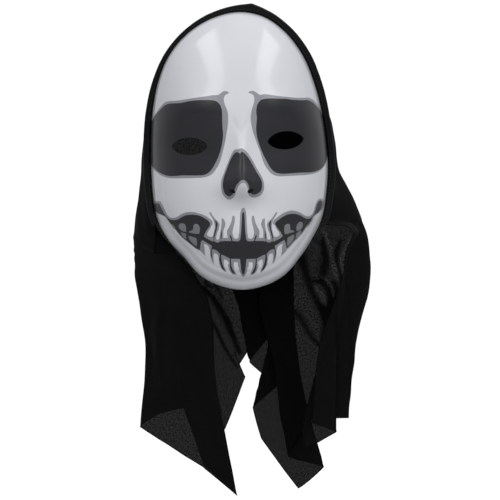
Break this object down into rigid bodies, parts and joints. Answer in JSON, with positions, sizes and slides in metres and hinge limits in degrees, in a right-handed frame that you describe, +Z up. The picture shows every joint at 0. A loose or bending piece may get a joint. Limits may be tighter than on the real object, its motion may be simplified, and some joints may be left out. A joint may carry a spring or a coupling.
{
  "type": "skull mask",
  "caption": "Full-face skull mask of thin glossy white plastic with a grey printed skull face, cut eye holes, a cloth-bound edge and a sheer black hood hanging in pointed folds.",
  "frame": {"origin": "under the crown of the hood near its seam, where the wearer's head carries the mask", "axes": "+Z up through the crown, -Y out through the face, +X to the right as one looks at the face"},
  "size_m": [0.2249, 0.2196, 0.4673],
  "materials": {
    "face": "glossy white with a grey print",
    "band": "folded black polyester hem",
    "hood": "sheer black polyester"
  },
  "bodies": {
    "root": {"face_shell": "face", "edge_band": "band", "hood_left": "hood", "hood_right": "hood"}
  },
  "joints": []
}
